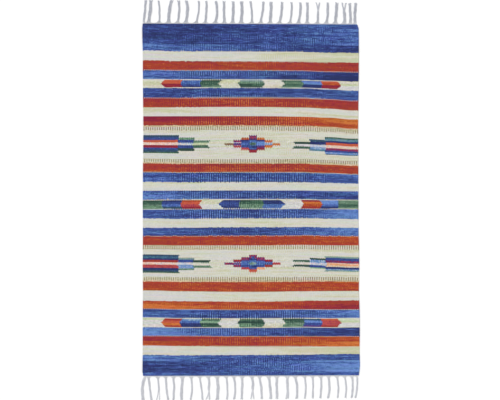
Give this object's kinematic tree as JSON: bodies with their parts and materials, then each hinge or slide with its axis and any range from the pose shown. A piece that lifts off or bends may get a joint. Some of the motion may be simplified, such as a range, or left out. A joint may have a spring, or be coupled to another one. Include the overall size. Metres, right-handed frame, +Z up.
{
  "type": "flat-woven rug",
  "caption": "Rectangular flat-woven wool rug with cross stripes, arrow chains and diamond bands, selvedged long sides and a cotton warp fringe at each end; lies flat on a floor.",
  "frame": {"origin": "on the floor plane, at the middle of the weave's underside", "axes": "+X across the rug along the weft, +Y along the rug with the warp, +Z up out of the face"},
  "size_m": [0.9264, 1.6968, 0.005],
  "materials": {
    "wool_weave": "matte wool, weft-faced plain weave with fine ribs along the warp",
    "cotton_warp": "matte, loosely twisted undyed cotton"
  },
  "bodies": {
    "root": {"woven_field": "wool_weave", "fringe_far": "cotton_warp", "fringe_near": "cotton_warp"}
  },
  "joints": []
}
